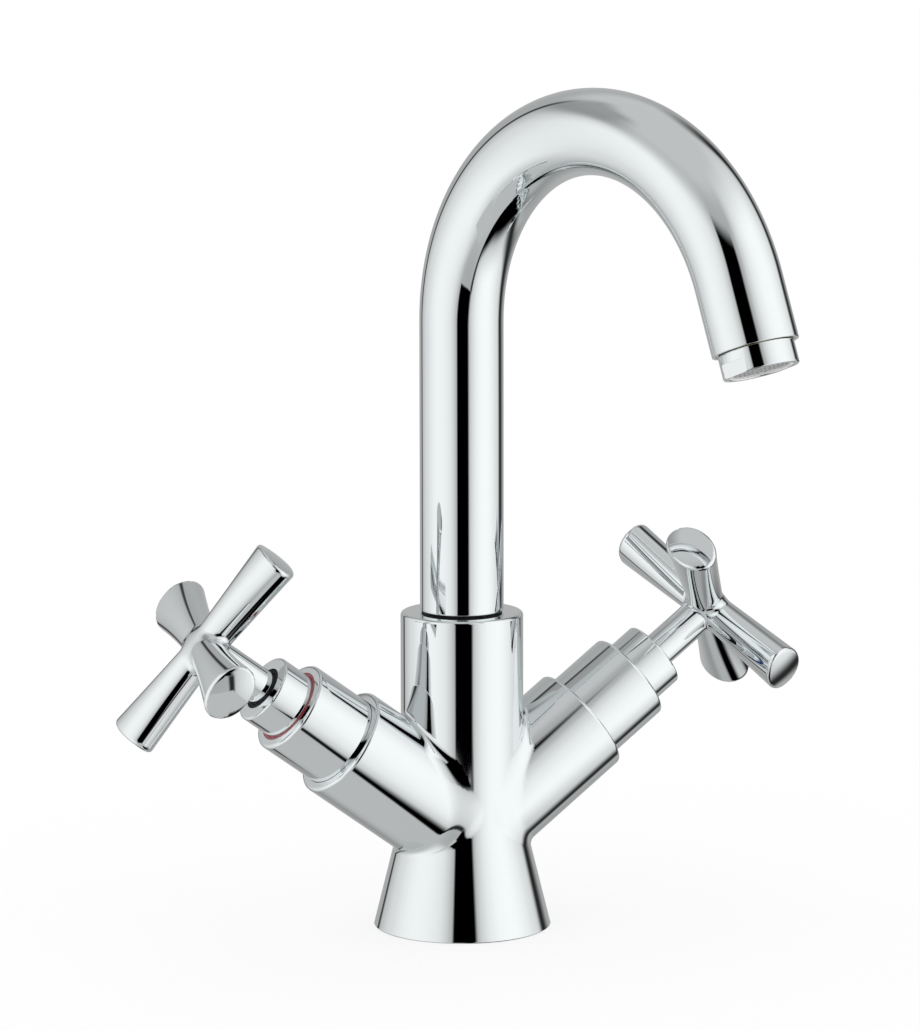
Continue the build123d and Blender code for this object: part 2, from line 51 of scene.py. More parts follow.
# The hollow blend round a side arm's root, by how far up the arm's side it is, from -1 to 1.
blend_heights = [-1, -0.6, 0, 0.42, 0.62, 0.8, 0.9, 1]
blend_radii = [1.4, 2.2, 2.6, 3.0, 4.5, 2.8, 2.0, 2.0]
least_blend, blend_fade, arm_past_crossing = 0.1, 8, 8
seal_groove_outer, seal_groove_inner, seal_groove_depth = 54.46, 49.54, 1.6
recess_d, recess_depth = 40.0, 14.0
inlet_x, inlet_y, inlet_d, inlet_depth = 9.0, 4.0, 9.0, 12.0
stud_y, stud_d, stud_depth = -10.5, 6.8, 14.0
socket_d, socket_depth = 24.1, 34.0
chamber_d, chamber_floor = 21.0, 28.0
stop_screw_z, stop_screw_hole = 90.6, 5.1
sleeve_d, seat_face, sleeve_front, sleeve_wall = 31.4, 51.8, 77.1, 3.0
mouth_gap = 0.15
ring_width, ring_height = 0.95, 1.1
bush_d, bush_front, bush_bore_d, bush_back, bush_step = 23.4, 88.4, 15.0, 68.1, 75.5
spigot_d, neck_d = 19.8, 18.0
stem_d, stem_end, spline_end, hub_reach = 11.8, 76.64, 95.04, 113.3
cross_reach, arm_end_dome, arm_end_round = 38.2, 40.0, 1.0
hot_turn, cold_turn = 15.2, 35.6
grub_height, grub_hole = 92.0, 3.1
tube_d, tube_bore, tube_low = 27.6, 25.2, 106.6
glide_ring_squeeze = 0.35  # how far the tube presses the black ring down; the part leaves that out
arch_centre_z, arch_radius, arch_sweep, outlet_straight = 202.0, 66.0, 159.2, 21.0
spout_turn = 17.3
aerator_d, aerator_show, aerator_bore = 24.2, 7.6, 20.4
aerator_flats, aerator_flat_height = 22.0, 4.4
screen_recess, screen_height, screen_pitch, screen_wire = 0.9, 0.6, 1.9, 0.5
outlet_thread_d, outlet_bush_length, outlet_bush_lip, outlet_bush_lip_bore = 23.0, 10.0, 1.6, 18.5

MM = 0.001
ALONG_X, ALONG_Z = Vector((1, 0, 0)), Vector((0, 0, 1))


# Places

def arm_place(side):
    """The matrix from a side arm's own axes to the tap's. Its Z runs out along the arm."""
    pitch = math.radians(arm_pitch)
    out = Vector((side * math.cos(pitch), 0, math.sin(pitch)))
    up = Vector((-side * math.sin(pitch), 0, math.cos(pitch)))
    turn = Matrix((up, out.cross(up), out)).transposed().to_4x4()
    return Matrix.Translation((0, 0, arm_axis_z)) @ turn


def handle_place(side, turn):
    """The matrix from a cross handle's own axes, centred in its hub, to the tap's."""
    swing = Matrix.Rotation(math.radians(side * turn), 4, "Z")
    return arm_place(side) @ swing @ Matrix.Translation((0, 0, hub_reach))


def outlet_place():
    """The matrix from the outlet's own axes to the tap's. Its Z runs out of the tube's end."""
    sweep = math.radians(arch_sweep)
    out = Vector((0, -math.sin(sweep), math.cos(sweep)))
    reach = arch_radius * (1 - math.cos(sweep)) + outlet_straight * math.sin(sweep)
    height = arch_centre_z + arch_radius * math.sin(sweep) + outlet_straight * math.cos(sweep)
    turn = Matrix((ALONG_X, out.cross(ALONG_X), out)).transposed().to_4x4()
    return Matrix.Rotation(math.radians(spout_turn), 4, "Z") @ Matrix.Translation((0, -reach, height)) @ turn


# Making meshes

# A corner lies on a surface that is this near, in mm, where its normal agrees with the surface's slope.
on_surface, least_agreement = 0.03, 0.4


def finish_piece(name, bm, body, material, stands_for, place=Matrix(), sharp_angle=32, weigh=True):
    """Puts a piece in its place, marks its sharp edges, and hangs it on its body in place of its CAD node."""
    bmesh.ops.transform(bm, matrix=Matrix.Scale(MM, 4) @ place, verts=bm.verts)
    limit = math.radians(sharp_angle)
    for face in bm.faces:
        face.smooth = True
    for edge in bm.edges:
        edge.smooth = edge.is_manifold and edge.calc_face_angle() < limit
    mesh = bpy.data.meshes.new(name)
    bm.to_mesh(mesh)
    bm.free()
    mesh.materials.append(material)
    piece = bpy.data.objects.new(name, mesh)
    bpy.context.collection.objects.link(piece)
    if weigh:
        even = piece.modifiers.new("even_normals", "WEIGHTED_NORMAL")
        even.keep_sharp = True
    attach(piece, body)
    if stands_for:
        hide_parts(*stands_for)
    return piece


def round_edges(bm, edges, radius, segments=4):
    """Rounds edges to a radius."""
    bmesh.ops.bevel(bm, geom=edges, offset=radius, offset_type="OFFSET", segments=segments, profile=0.5,
                    affect="EDGES", clamp_overlap=False, material=-1, loop_slide=True)


def turned(points, rounds=(), steps=128):
    """A ring turned round Z from the corners of its section, with (corner, radius) for each rounded corner."""
    bm = bmesh.new()
    corners = [bm.verts.new((radius, 0, height)) for radius, height in points]
    for start, end in zip(corners, corners[1:] + corners[:1]):
        bm.edges.new((start, end))
    bmesh.ops.spin(bm, geom=bm.verts[:] + bm.edges[:], cent=(0, 0, 0), axis=(0, 0, 1),
                   angle=math.tau, steps=steps, use_merge=True)
    bmesh.ops.remove_doubles(bm, verts=bm.verts, dist=0.0001)
    bmesh.ops.recalc_face_normals(bm, faces=bm.faces)
    for corner, radius in rounds:
        at = points[corner]
        ring = [e for e in bm.edges if all(near(v.co, at) for v in e.verts)]
        round_edges(bm, ring, radius)
    return bm


def near(place, at):
    """Whether a point lies on the circle round Z of that radius and height."""
    return abs(place.xy.length - at[0]) < 0.001 and abs(place.z - at[1]) < 0.001


def coordinates(bm):
    """The bmesh's points as an array."""
    return np.array([v.co for v in bm.verts])


def move_to(bm, points, only=None):
    """Moves the bmesh's vertices to the array's points, or only the vertices whose numbers are given."""
    for vert in (bm.verts if only is None else [bm.verts[i] for i in only]):
        vert.co = points[vert.index]


def onto(points, surface, rounds=5):
    """Moves points down a surface's slope until they lie on it."""
    for _ in range(rounds):
        value = surface(points)
        slope = slope_of(surface, points)
        length = np.maximum((slope ** 2).sum(1), 0.05)
        points = points - np.clip(value / length, -3, 3)[:, None] * slope
    return points


def joined(a, b, radius):
    """Two surfaces joined, with a hollow blend of that radius in the corner between them."""
    return np.maximum(radius, np.minimum(a, b)) - np.hypot(np.maximum(radius - a, 0), np.maximum(radius - b, 0))


def shared(a, b, radius):
    """What two surfaces both hold, with the edge between them rounded to that radius."""
    return -joined(-a, -b, radius)


def slope_of(surface, points):
    """The surface's slope at each point, which is its outward normal where the point lies on it."""
    step = 0.002
    return np.stack([(surface(points + s) - surface(points - s)) / (2 * step) for s in step * np.eye(3)], 1)


def true_normals(piece, surface, place=Matrix()):
    """Gives a piece the normals of the surface that it was shaped by, at every corner that lies on it."""
    mesh, place = piece.data, np.array(place)
    points = np.empty(len(mesh.vertices) * 3)
    mesh.vertices.foreach_get("co", points)
    points = (points.reshape(-1, 3) / MM - place[:3, 3]) @ place[:3, :3]
    slope = slope_of(surface, points)
    slope = slope / np.maximum(np.linalg.norm(slope, axis=1, keepdims=True), 0.01) @ place[:3, :3].T
    close = np.abs(surface(points)) < on_surface
    corners, normals = np.empty(len(mesh.loops), int), np.empty(len(mesh.loops) * 3)
    mesh.loops.foreach_get("vertex_index", corners)
    mesh.corner_normals.foreach_get("vector", normals)
    normals = normals.reshape(-1, 3)
    lies_on = close[corners] & ((normals * slope[corners]).sum(1) > least_agreement)
    normals[lies_on] = slope[corners[lies_on]]
    mesh.normals_split_custom_set(normals)


# The cast body

# How often the skin is evened out after each cut, and at the end, when the arms' roots are free to move.
skin_evenings, free_evenings = (20, 16, 12, 8, 5), 10


def core_surface(p):
    """Distance from the foot's cone and the collar, softened where they meet."""
    slope = (base_d - collar_d) / 2 / flare_height
    below = (flare_height - p[:, 2]) / 2
    radius = collar_d / 2 + slope * (below + np.hypot(below, flare_soften / 2))
    return (np.hypot(p[:, 0], p[:, 1]) - radius) / math.hypot(1, slope)


def arm_parts(p, side):
    """Reach along a side arm's axis, distance from its round, and how far up its side, from -1 to 1."""
    pitch = math.radians(arm_pitch)
    from_crossing = p - np.array([0, 0, arm_axis_z])
    out = np.array([side * math.cos(pitch), 0, math.sin(pitch)])
    up = np.array([-side * math.sin(pitch), 0, math.cos(pitch)])
    reach = from_crossing @ out
    radial = np.linalg.norm(from_crossing - np.outer(reach, out), axis=1)
    return reach, radial - arm_d / 2, (from_crossing @ up) / np.maximum(radial, 0.01)


def body_surface(p):
    """Distance from the foot, collar and both arms, blended as the casting is."""
    value = core_surface(p)
    for side in (-1, 1):
        reach, round_side, height = arm_parts(p, side)
        share = np.clip(reach / blend_fade, 0, 1)
        radius = np.interp(height, blend_heights, blend_radii)
        radius = least_blend + (radius - least_blend) * share * share * (3 - 2 * share)
        value = joined(value, np.maximum(round_side, -arm_past_crossing - reach), radius)
    return value


def body_cage():
    """A coarse cage of the body's outside: a column without ends, and an open arm to each side."""
    bm = bmesh.new()
    bmesh.ops.create_cube(bm, size=2)
    half = 14.5
    bmesh.ops.scale(bm, vec=(half, half, (collar_top - 2) / 2), verts=bm.verts)
    bmesh.ops.translate(bm, vec=(0, 0, collar_top / 2), verts=bm.verts)
    ends = [f for f in bm.faces if abs(f.normal.z) > 0.5]
    bmesh.ops.delete(bm, geom=ends, context="FACES_ONLY")
    for height in (14, 30, 61, 82):
        bmesh.ops.bisect_plane(bm, geom=bm.verts[:] + bm.edges[:] + bm.faces[:], plane_co=(0, 0, height),
                               plane_no=(0, 0, 1))
    roots = []
    for side in (-1, 1):
        at = Vector((side * half, 0, 45.5))
        root = min(bm.faces, key=lambda f: (f.calc_center_median() - at).length)
        roots += root.edges[:]
        for share in (0.5, 1.0):
            grown = bmesh.ops.extrude_face_region(bm, geom=[root])["geom"]
            bmesh.ops.delete(bm, geom=[root], context="FACES_ONLY")
            root = next(f for f in grown if isinstance(f, bmesh.types.BMFace))
            goal = arm_place(side) @ Vector((0, 0, 20 + share * (arm_reach - 20)))
            bmesh.ops.translate(bm, vec=goal - root.calc_center_median(), verts=root.verts[:])
        bmesh.ops.delete(bm, geom=[root], context="FACES_ONLY")
    for edge in roots:
        edge.seam = True
    return bm


def body_loops(bm):
    """The numbers of the vertices on the base, the collar's top, each arm's root and each arm's mouth."""
    bm.verts.ensure_lookup_table()
    bm.verts.index_update()
    rim = {v.index for e in bm.edges if e.is_boundary for v in e.verts}
    loops = {"base": [i for i in rim if abs(bm.verts[i].co.x) < 32 and bm.verts[i].co.z < 15],
             "top": [i for i in rim if abs(bm.verts[i].co.x) < 25 and bm.verts[i].co.z > 85]}
    taken = set(loops["base"]) | set(loops["top"])
    for side in (-1, 1):
        loops["mouth", side] = [i for i in rim if i not in taken and side * bm.verts[i].co.x > 0]
        roots = {v.index for e in bm.edges if e.seam for v in e.verts}
        loops["root", side] = [i for i in roots if side * bm.verts[i].co.x > 0]
    return loops


def on_ring(points, radius, height):
    """Points moved onto a circle round Z."""
    flat = points[:, :2] / np.linalg.norm(points[:, :2], axis=1, keepdims=True) * radius
    return np.column_stack([flat, np.full(len(points), height)])


def settle_body(bm, loops, last=False):
    """Puts the skin's vertices on the casting's surface, and its loops on their circles and seams."""
    points = coordinates(bm)
    points = onto(points, body_surface)
    low = base_edge_round
    slope = (base_d - collar_d) / 2 / flare_height
    points[loops["base"]] = on_ring(points[loops["base"]], base_d / 2 - slope * low, low)
    points[loops["top"]] = on_ring(points[loops["top"]], collar_d / 2, collar_top - collar_edge_round)
    for side in (-1, 1):
        place = np.array(arm_place(side))
        mouth = loops["mouth", side]
        local = (points[mouth] - place[:3, 3]) @ place[:3, :3]
        points[mouth] = on_ring(local, arm_d / 2, arm_reach - arm_edge_round) @ place[:3, :3].T + place[:3, 3]
        if not last:
            root = loops["root", side]
            seam = points[root]
            for _ in range(12):
                seam = onto(seam, core_surface, 1)
                seam = onto(seam, lambda p: arm_parts(p, side)[1], 1)
            points[root] = seam
    move_to(bm, points)


def even_out(bm):
    """Moves every vertex half way to the middle of its neighbours."""
    bmesh.ops.smooth_vert(bm, verts=bm.verts, factor=0.5, use_axis_x=True, use_axis_y=True, use_axis_z=True)


def body_skin():
    """The body's outside, from the cage cut finer in steps and settled on its surface after each."""
    bm = body_cage()
    for evenings in skin_evenings:
        bmesh.ops.subdivide_edges(bm, edges=bm.edges[:], cuts=1, use_grid_fill=True)
        loops = body_loops(bm)
        for _ in range(evenings):
            settle_body(bm, loops)
            even_out(bm)
        settle_body(bm, loops, last=evenings == skin_evenings[-1])
    for _ in range(free_evenings):
        even_out(bm)
        settle_body(bm, loops, last=True)
    return bm


def rim_of(bm, numbers):
    """The boundary edges between vertices with those numbers."""
    bm.verts.ensure_lookup_table()
    chosen = {bm.verts[i] for i in numbers}
    return [e for e in bm.edges if e.is_boundary and e.verts[0] in chosen and e.verts[1] in chosen]


def carry_on(bm, edges, steps, place=Matrix(), cap=True):
    """Carries an open round edge on through the (radius, height) steps, and closes the last with a face."""
    back = place.inverted()
    for radius, height in steps:
        grown = bmesh.ops.extrude_edge_only(bm, edges=edges)["geom"]
        edges = [g for g in grown if isinstance(g, bmesh.types.BMEdge)]
        for vert in {v for e in edges for v in e.verts}:
            flat = (back @ vert.co).xy.normalized() * radius
            vert.co = place @ Vector((flat.x, flat.y, height))
    if cap:
        bmesh.ops.contextual_create(bm, geom=edges)
    return edges


def quarter(radius, height, size, inward, steps=4):
    """The steps of a rounded edge from a side of that radius onto a flat end at that height, up or down."""
    turns = [math.radians(90 * k / steps) for k in range(1, steps + 1)]
    return [(radius - size + size * math.cos(t), height - inward * size + inward * size * math.sin(t))
            for t in turns]


def body_underside(bm, edges):
    """The underside: the seal's groove, the hollow, and the blind inlet and stud holes in its ceiling."""
    steps = quarter(base_d / 2, 0, base_edge_round, -1)
    groove = [(seal_groove_outer / 2, 0), (seal_groove_outer / 2, seal_groove_depth),
              (seal_groove_inner / 2, seal_groove_depth), (seal_groove_inner / 2, 0)]
    hollow = [(recess_d / 2, 0), (recess_d / 2, recess_depth)]
    edges = carry_on(bm, edges, steps + groove + hollow, cap=False)
    ceiling = list(edges)
    holes = ((-inlet_x, inlet_y, inlet_d, inlet_depth), (inlet_x, inlet_y, inlet_d, inlet_depth),
             (0, stud_y, stud_d, stud_depth))
    for x, y, across, depth in holes:
        place = Matrix.Translation((x, y, recess_depth))
        made = bmesh.ops.create_circle(bm, segments=48, radius=across / 2, matrix=place)["verts"]
        circle = [e for e in bm.edges if e.verts[0] in made and e.verts[1] in made]
        carry_on(bm, circle, [(across / 2, depth)], place)
        ceiling += circle
    bmesh.ops.triangle_fill(bm, edges=ceiling, use_beauty=True)


def body_mesh():
    """The cast body with its mouths, spout socket and underside."""
    bm = body_skin()
    loops = body_loops(bm)
    rims = {key: rim_of(bm, numbers) for key, numbers in loops.items() if "root" not in key}
    for side in (-1, 1):
        steps = quarter(arm_d / 2, arm_reach, arm_edge_round, 1)
        fit = sleeve_d / 2 + mouth_gap
        steps += [(fit, arm_reach), (fit, seat_face), (chamber_d / 2, seat_face),
                  (chamber_d / 2, chamber_floor)]
        carry_on(bm, rims["mouth", side], steps, arm_place(side))
    steps = quarter(collar_d / 2, collar_top, collar_edge_round, 1)
    carry_on(bm, rims["top"], steps + [(socket_d / 2, collar_top), (socket_d / 2, collar_top - socket_depth)])
    body_underside(bm, rims["base"])
    bmesh.ops.recalc_face_normals(bm, faces=bm.faces)
    return bm


def cut_hole(piece, across, start, end):
    """Drills a round hole in a piece, from one point to another."""
    run = Vector(end) - Vector(start)
    bm = bmesh.new()
    bmesh.ops.create_cone(bm, cap_ends=True, segments=48, radius1=across / 2, radius2=across / 2,
                          depth=run.length)
    swing = run.to_track_quat("Z", "Y").to_matrix().to_4x4()
    place = Matrix.Translation((Vector(start) + Vector(end)) / 2) @ swing
    bmesh.ops.transform(bm, matrix=Matrix.Scale(MM, 4) @ place, verts=bm.verts)
    cut_away(piece, bm)


def cut_away(piece, bm):
    """Takes a cutter's space out of a piece, and clears the cutter away."""
    mesh = bpy.data.meshes.new("cutter")
    bm.to_mesh(mesh)
    bm.free()
    cutter = bpy.data.objects.new("cutter", mesh)
    bpy.context.collection.objects.link(cutter)
    cut = piece.modifiers.new("cut", "BOOLEAN")
    cut.operation, cut.solver, cut.object = "DIFFERENCE", "EXACT", cutter
    bpy.context.view_layer.update()
    made = bpy.data.meshes.new_from_object(piece.evaluated_get(bpy.context.evaluated_depsgraph_get()))
    made.name = piece.name
    piece.modifiers.clear()
    old, piece.data = piece.data, made
    bpy.data.meshes.remove(old)
    bpy.data.objects.remove(cutter)
    bpy.data.meshes.remove(mesh)


# The cross handles

def cross_arm_surface(along, across, up):
    """Distance from one pair of opposite arms: ovals that widen to domed, rounded ends."""
    reach = np.abs(along)
    reach = np.where(reach < 3, reach ** 2 * (2 - reach / 3) / 3, reach)
    half_width = 5.5 + 0.05798 * reach + 0.001703 * reach ** 2
    half_height = 5.5 + 0.05564 * reach - 0.00036 * reach ** 2
    share = np.hypot(across / half_width, up / half_height)
    slope = np.maximum(np.hypot(across / half_width ** 2, up / half_height ** 2), 0.0001)
    side = share * (share - 1) / slope
    dome = np.sqrt((np.abs(along) - cross_reach + arm_end_dome) ** 2 + across ** 2 + up ** 2) - arm_end_dome
    return shared(side, dome, arm_end_round)


def cross_surface(p):
    """Distance from the four arms and the stem, with soft blends between them."""
    x, y, z = p.T
    arms = joined(cross_arm_surface(x, y, z), cross_arm_surface(y, x, z), 2.4)
    stem = np.maximum(np.hypot(x, y) - stem_d / 2, z)
    return joined(arms, stem, 0.8)


def cross_cage():
    """A coarse cage of the cross: a cube with four closed arms and an open stem."""
    bm = bmesh.new()
    bmesh.ops.create_cube(bm, size=10)
    ends = [f for f in bm.faces if f.normal.z < 0.5]
    for face in ends:
        out = face.normal.copy()
        stops = (stem_end - hub_reach + 5, stem_end - hub_reach) if out.z < -0.5 else (15, 27, cross_reach - 1)
        for stop in stops:
            grown = bmesh.ops.extrude_face_region(bm, geom=[face])["geom"]
            bmesh.ops.delete(bm, geom=[face], context="FACES_ONLY")
            face = next(f for f in grown if isinstance(f, bmesh.types.BMFace))
            reach = abs(stop) if out.z > -0.5 else -stop
            goal = out * reach
            bmesh.ops.translate(bm, vec=goal - face.calc_center_median(), verts=face.verts[:])
        if out.z < -0.5:
            bmesh.ops.delete(bm, geom=[face], context="FACES_ONLY")
    return bm


def cross_mesh():
    """One cross handle with its stem, in its own axes."""
    bm = cross_cage()
    low = stem_end - hub_reach
    for evenings in (12, 8, 6, 4, 2):
        bmesh.ops.subdivide_edges(bm, edges=bm.edges[:], cuts=1, use_grid_fill=True)
        bm.verts.index_update()
        rim = sorted({v.index for e in bm.edges if e.is_boundary for v in e.verts})
        for even in range(evenings + 1):
            points = onto(coordinates(bm), cross_surface)
            points[rim] = on_ring(points[rim], stem_d / 2, low)
            move_to(bm, points)
            if even < evenings:
                even_out(bm)
    bore = 4.05
    carry_on(bm, rim_of(bm, rim), [(bore, low), (bore, spline_end - hub_reach)])
    bmesh.ops.recalc_face_normals(bm, faces=bm.faces)
    return bm


# The turned pieces

def sleeve_mesh():
    """The chromed sleeve, with the index ring's groove in its face."""
    groove_outer, groove_floor = bush_d / 2 + ring_width + 0.03, sleeve_front - ring_height
    inner, inner_front = sleeve_d / 2 - sleeve_wall, sleeve_front - sleeve_wall
    points = [(sleeve_d / 2, seat_face), (sleeve_d / 2, sleeve_front), (groove_outer, sleeve_front),
              (groove_outer, groove_floor), (bush_d / 2, groove_floor), (bush_d / 2, sleeve_front),
              (spigot_d / 2 + 0.05, sleeve_front), (spigot_d / 2 + 0.05, inner_front), (inner, inner_front),
              (inner, seat_face)]
    return turned(points, rounds=((1, 1.2), (2, 0.12), (0, 0.2)))


def bush_mesh():
    """The stepped guide bush."""
    points = [(bush_d / 2, sleeve_front), (bush_d / 2, bush_front), (bush_bore_d / 2, bush_front),
              (bush_bore_d / 2, bush_step), (neck_d / 2, bush_step), (neck_d / 2, bush_back),
              (spigot_d / 2, bush_back), (spigot_d / 2, sleeve_front)]
    return turned(points, rounds=((1, 0.8), (2, 0.12)))


def index_ring_mesh():
    """The coloured ring in the sleeve's face."""
    outer, inner = bush_d / 2 + ring_width, bush_d / 2 + 0.03
    low, high = sleeve_front - ring_height, sleeve_front - 0.05
    return turned([(outer, low), (outer, high), (inner, high), (inner, low)], rounds=((1, 0.15), (2, 0.1)))


def stem_seal_mesh():
    """The black wiper ring round the stem."""
    high, low = bush_front - 0.25, bush_front - 1.25
    outer, inner = bush_bore_d / 2 - 0.03, stem_d / 2 + 0.05
    return turned([(outer, low), (outer, high), (inner, high), (inner, low)], rounds=((1, 0.2), (2, 0.3)))


def glide_ring_mesh():
    """The black ring that the spout turns on."""
    inner, outer = 12.03, 13.3
    low, high = collar_top + 0.02, tube_low - glide_ring_squeeze
    return turned([(outer, low), (outer, high), (inner, high), (inner, low)], rounds=((0, 0.15), (1, 0.15)))


# The spout

def tube_mesh():
    """The bent tube with its wall, swung to where the spout points."""
    bm = bmesh.new()
    for across in (tube_d, tube_bore):
        bmesh.ops.create_circle(bm, segments=128, radius=across / 2)
    bmesh.ops.bridge_loops(bm, edges=bm.edges[:])
    low = tube_low - glide_ring_squeeze
    bmesh.ops.translate(bm, vec=(0, 0, low), verts=bm.verts)
    end = carry_faces(bm, bm.faces[:], (0, 0, arch_centre_z - low))
    sweep = math.radians(arch_sweep)
    spun = bmesh.ops.spin(bm, geom=end, cent=(0, -arch_radius, arch_centre_z), axis=(1, 0, 0), angle=sweep,
                          steps=150)
    out = Vector((0, -math.sin(sweep), math.cos(sweep)))
    carry_faces(bm, [g for g in spun["geom_last"] if isinstance(g, bmesh.types.BMFace)], out * outlet_straight)
    bmesh.ops.remove_doubles(bm, verts=bm.verts, dist=0.0001)
    bmesh.ops.recalc_face_normals(bm, faces=bm.faces)
    ends = [e for e in bm.edges if 1.2 < e.calc_face_angle(0)]
    round_edges(bm, ends, 0.25, 3)
    swing = Matrix.Rotation(math.radians(spout_turn), 3, "Z")
    bmesh.ops.rotate(bm, cent=(0, 0, 0), matrix=swing, verts=bm.verts)
    return bm


def carry_faces(bm, faces, run):
    """Extrudes faces by a straight run and returns the new end with its edges and vertices."""
    grown = bmesh.ops.extrude_face_region(bm, geom=faces)["geom"]
    moved = [g for g in grown if isinstance(g, bmesh.types.BMVert)]
    bmesh.ops.translate(bm, vec=run, verts=moved)
    return grown


def outlet_bush_mesh():
    """The threaded brass bush that the aerator screws into, a little way up the tube's end."""
    outer, thread, lip = tube_bore / 2 - 0.03, outlet_thread_d / 2, outlet_bush_lip_bore / 2
    face, low = -outlet_bush_lip, -outlet_bush_length
    return turned([(outer, low), (outer, face), (thread, face), (thread, low + outlet_bush_lip),
                   (lip, low + outlet_bush_lip), (lip, low)])


def aerator_mesh():
    """The aerator's chromed shell, before its spanner flats are cut."""
    thread = 11.45
    points = [(thread, -6.2), (thread, 0), (aerator_d / 2, 0), (aerator_d / 2, aerator_show),
              (aerator_bore / 2, aerator_show), (aerator_bore / 2, -6.2)]
    return turned(points, rounds=((3, 0.5), (4, 0.3), (2, 0.3)))


def cut_flats(piece, place):
    """Cuts the two spanner flats in the lower half of the aerator's skirt."""
    low, high = aerator_show - aerator_flat_height, aerator_show + 2
    for side in (-1, 1):
        bm = bmesh.new()
        bmesh.ops.create_cube(bm, size=1)
        middle = (side * (aerator_flats / 2 + 2), 0, (low + high) / 2)
        bmesh.ops.scale(bm, vec=(4, 30, high - low), verts=bm.verts)
        bmesh.ops.translate(bm, vec=middle, verts=bm.verts)
        bmesh.ops.transform(bm, matrix=Matrix.Scale(MM, 4) @ place, verts=bm.verts)
        cut_away(piece, bm)


def screen_mesh():
    """The square mesh across the outlet: a grid whose cells are opened, with a thickness."""
    across = aerator_bore / 2 - 0.96
    count = int(2 * across / screen_pitch) + 1
    bm = bmesh.new()
    bmesh.ops.create_grid(bm, x_segments=count, y_segments=count, size=count * screen_pitch / 2)
    bmesh.ops.delete(bm, geom=[f for f in bm.faces if f.calc_center_median().length > across], context="FACES")
    cells = bm.faces[:]
    bmesh.ops.inset_individual(bm, faces=cells, thickness=screen_wire / 2, use_even_offset=True)
    bmesh.ops.delete(bm, geom=cells, context="FACES_ONLY")
    for vert in bm.verts:
        if vert.co.length > across:
            vert.co = vert.co.normalized() * across
    grown = bmesh.ops.extrude_face_region(bm, geom=bm.faces[:])["geom"]
    raised = [g for g in grown if isinstance(g, bmesh.types.BMVert)]
    bmesh.ops.translate(bm, vec=(0, 0, screen_height), verts=raised)
    bmesh.ops.translate(bm, vec=(0, 0, aerator_show - screen_recess - screen_height), verts=bm.verts)
    bmesh.ops.recalc_face_normals(bm, faces=bm.faces)
    return bm


# Finishes

class Value:
    """A shader socket, or a number, that takes part in Python sums."""

    def __init__(self, maker, socket):
        self.maker, self.socket = maker, socket

    def sum(self, operation, *others):
        return self.maker.node("ShaderNodeMath", {"operation": operation}, **{
            str(slot): other for slot, other in enumerate(others)})

    def __add__(self, other): return self.sum("ADD", self, other)
    def __radd__(self, other): return self.sum("ADD", other, self)
    def __sub__(self, other): return self.sum("SUBTRACT", self, other)
    def __rsub__(self, other): return self.sum("SUBTRACT", other, self)
    def __mul__(self, other): return self.sum("MULTIPLY", self, other)
    def __rmul__(self, other): return self.sum("MULTIPLY", other, self)
    def __truediv__(self, other): return self.sum("DIVIDE", self, other)
    def __abs__(self): return self.sum("ABSOLUTE", self)


class Finish:
    """A node tree that materials and the studio are written in."""

    def __init__(self, owner):
        owner.use_nodes = True
        self.tree = owner.node_tree
        self.tree.nodes.clear()

    def node(self, kind, settings=None, out=0, **sockets):
        """Adds a node, sets it up, links or fills its sockets, and returns one of its outputs."""
        made = self.tree.nodes.new(kind)
        for name, value in (settings or {}).items():
            if name == "stops":
                for stop in range(len(value) - 2):
                    made.color_ramp.elements.new(0.5)
                made.color_ramp.interpolation = "CARDINAL"
                for element, (at, colour) in zip(made.color_ramp.elements, value):
                    element.position, element.color = at, colour
            else:
                setattr(made, name, value)
        for name, value in sockets.items():
            key = int(name) if name.isdigit() else name.replace("_", " ")
            if isinstance(value, Value):
                self.tree.links.new(value.socket, made.inputs[key])
            else:
                made.inputs[key].default_value = value
        return Value(self, made.outputs[out]) if made.outputs else None


def band(maker, value, middle, half, soft):
    """1 within half of the middle, falling to 0 over soft beyond it."""
    return fade(maker, abs(value - middle), half, half + soft, 1, 0)


def fade(maker, value, low, high, first, last):
    """Goes smoothly from first to last as the value goes from low to high."""
    return maker.node("ShaderNodeMapRange", {"interpolation_type": "SMOOTHSTEP"}, Value=value, From_Min=low,
                      From_Max=high, To_Min=first, To_Max=last)


def toward(first, last, share):
    """Goes from the first value to the last as the share goes from 0 to 1."""
    return first + (last - first) * share


def speckle(maker, scale, detail=2.0, rough=0.5):
    """A soft irregular pattern of that scale, per metre."""
    where = maker.node("ShaderNodeTexCoord", out="Object")
    return maker.node("ShaderNodeTexNoise", out=0, Vector=where, Scale=scale, Detail=detail, Roughness=rough)


def surface_finish(name, colour, metal, rough, rough_play, scale, bump=0.0, shade_play=0.02, coat=0.0,
                   **constants):
    """A finish whose shade and gloss vary a little over the piece, with a fine bump where one is given."""
    material = bpy.data.materials.new(name)
    maker = Finish(material)
    grain = speckle(maker, scale)
    wide = speckle(maker, scale / 8)
    light = 1 + (wide - 0.5) * shade_play
    shade = maker.node("ShaderNodeCombineColor", Red=light, Green=light, Blue=light)
    tint = maker.node("ShaderNodeMix", {"data_type": "RGBA", "blend_type": "MULTIPLY"}, out=2, **{
        "0": 1.0, "6": (*colour, 1), "7": shade})
    sockets = {"Base_Color": tint, "Metallic": metal, "Roughness": rough + (grain - 0.5) * rough_play,
               "Coat_Weight": coat}
    if bump:
        sockets["Normal"] = maker.node("ShaderNodeBump", Height=grain, Strength=1.0, Distance=bump)
    shader = maker.node("ShaderNodeBsdfPrincipled", **sockets, **constants)
    maker.node("ShaderNodeOutputMaterial", Surface=shader)
    return material


